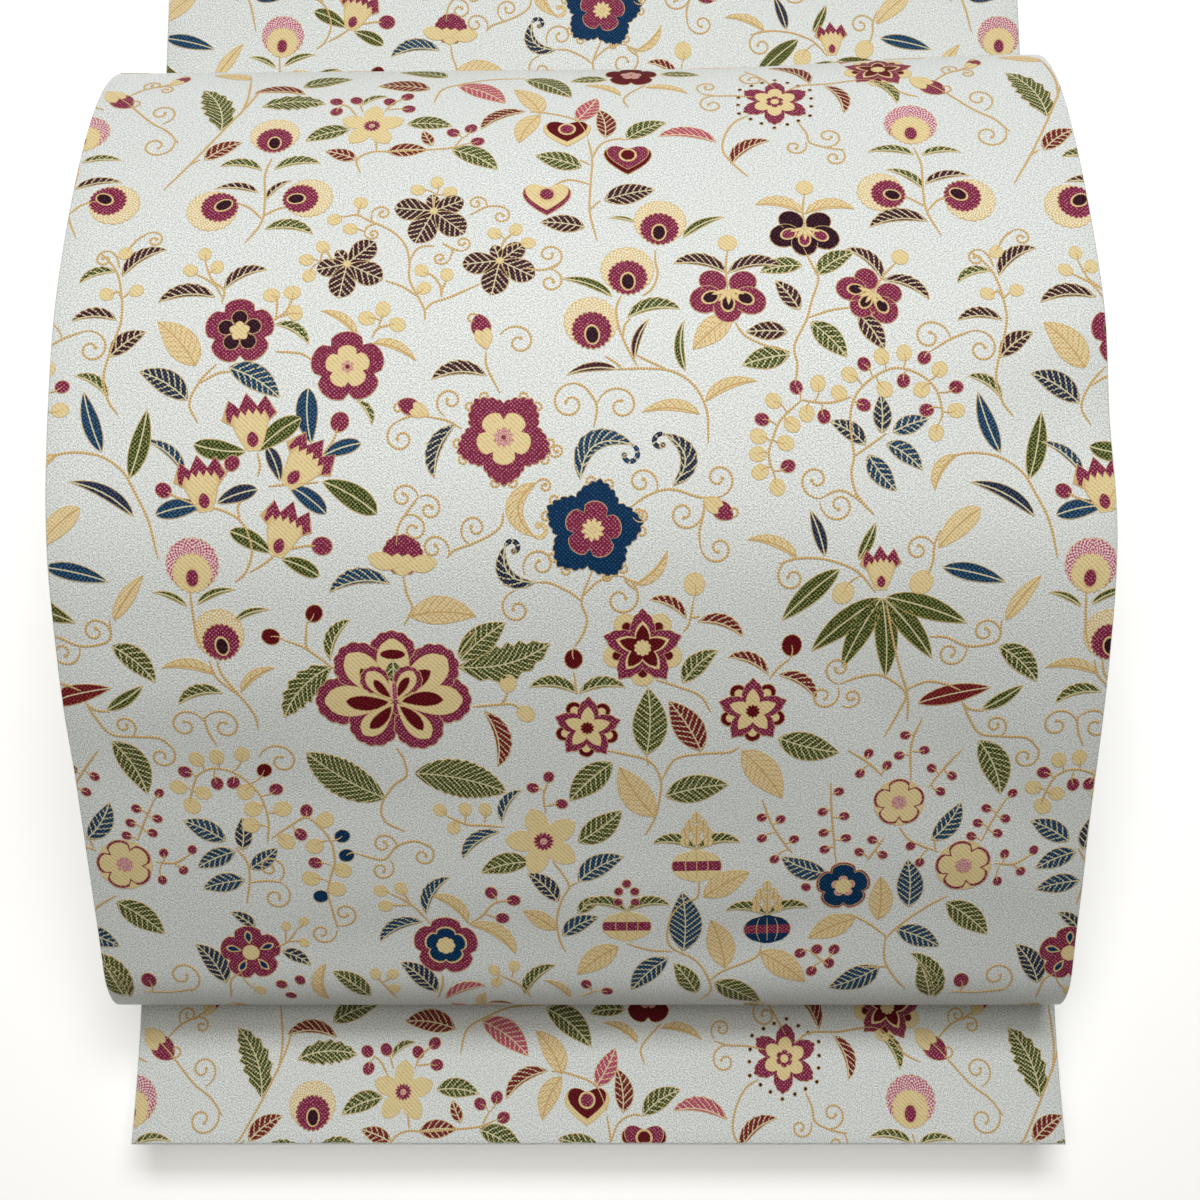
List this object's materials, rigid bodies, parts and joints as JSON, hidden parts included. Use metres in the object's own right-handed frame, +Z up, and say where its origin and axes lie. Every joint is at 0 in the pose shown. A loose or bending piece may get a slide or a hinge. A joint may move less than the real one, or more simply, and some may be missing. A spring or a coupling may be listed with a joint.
{
  "type": "obi sash",
  "caption": "Long lined brocade sash folded flat into a pile, with its front folded up into the hollow square drum of an obi bow and its end showing below as the tail.",
  "frame": {"origin": "centre of the footprint, on the surface that the folded sash lies on", "axes": "+X across the band, +Y from the tail's end to the head of the pile, +Z up from the surface"},
  "size_m": [0.3165, 0.4825, 0.1116],
  "materials": {
    "brocade": "pale silver silk satin with coloured and gold brocade flowers",
    "folded_brocade": "the same silk, seen at its folded edges, with its plain lining"
  },
  "bodies": {
    "root": {"drum": "brocade", "tail": "brocade", "upper_strip": "brocade", "folded_length": "folded_brocade"}
  },
  "joints": []
}
